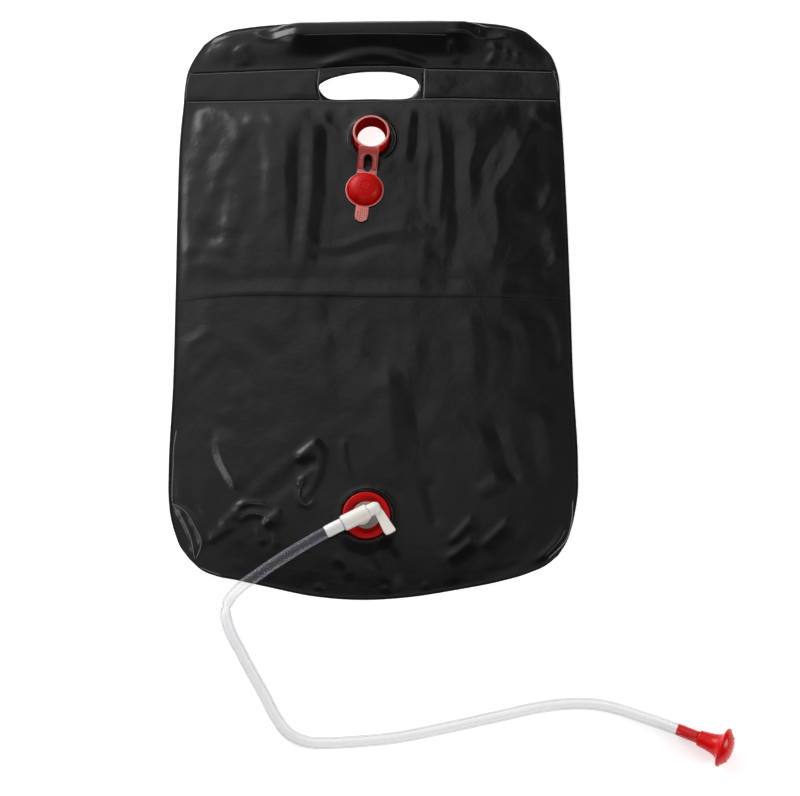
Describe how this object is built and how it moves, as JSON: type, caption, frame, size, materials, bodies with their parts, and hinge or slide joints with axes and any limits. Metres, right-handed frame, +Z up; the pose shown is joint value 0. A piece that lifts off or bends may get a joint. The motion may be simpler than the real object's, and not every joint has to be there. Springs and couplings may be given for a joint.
{
  "type": "camp shower bag",
  "caption": "Flat black water bag lying on its back, with a handle tube and grip hole at the top, a red filler with a tethered cap, and a white lever tap with a clear hose and red shower rose.",
  "frame": {"origin": "on the surface that the bag lies on, under the middle of the flat bag's outline, leaving out the hose and its rose", "axes": "+Y runs from the outlet up to the handle, +Z points up out of the bag's front, and +X runs to the right as seen from the front with the handle at the top"},
  "size_m": [0.5272, 0.7798, 0.0356],
  "materials": {
    "black_film": "satin PVC film, slightly creased",
    "white_film": "satin PVC film",
    "grey_plastic": "plain extruded tube",
    "red_soft_pvc": "glossy soft moulding",
    "red_hard_plastic": "glossy moulding",
    "white_plastic": "satin moulding",
    "black_rubber": "matte",
    "clear_pvc": "clear, glossy"
  },
  "bodies": {
    "bag": {"front_panel": "black_film", "back_panel": "white_film", "handle_tube": "grey_plastic", "filler_neck": "red_soft_pvc", "outlet_seat": "red_soft_pvc", "base_washer": "black_rubber", "valve_body": "white_plastic", "hose": "clear_pvc", "rose_body": "red_hard_plastic", "rose_face": "red_hard_plastic"},
    "cap": {"filler_cap": "red_soft_pvc"},
    "key": {"valve_key": "white_plastic", "key_seal_outer": "black_rubber", "key_seal_inner": "black_rubber"}
  },
  "joints": [
    {"name": "cap_hinge", "type": "hinge", "parent": "bag", "child": "cap", "pos_m": [-0.00359, 0.13977, 0.0181], "axis": [-0.9925, 0.1219, 0], "range_deg": [0, 180]},
    {"name": "key_turn", "type": "hinge", "parent": "bag", "child": "key", "pos_m": [-0.007, -0.2298, 0.022], "axis": [-0.8957, -0.4446, 0], "range_deg": [0, 90]}
  ]
}
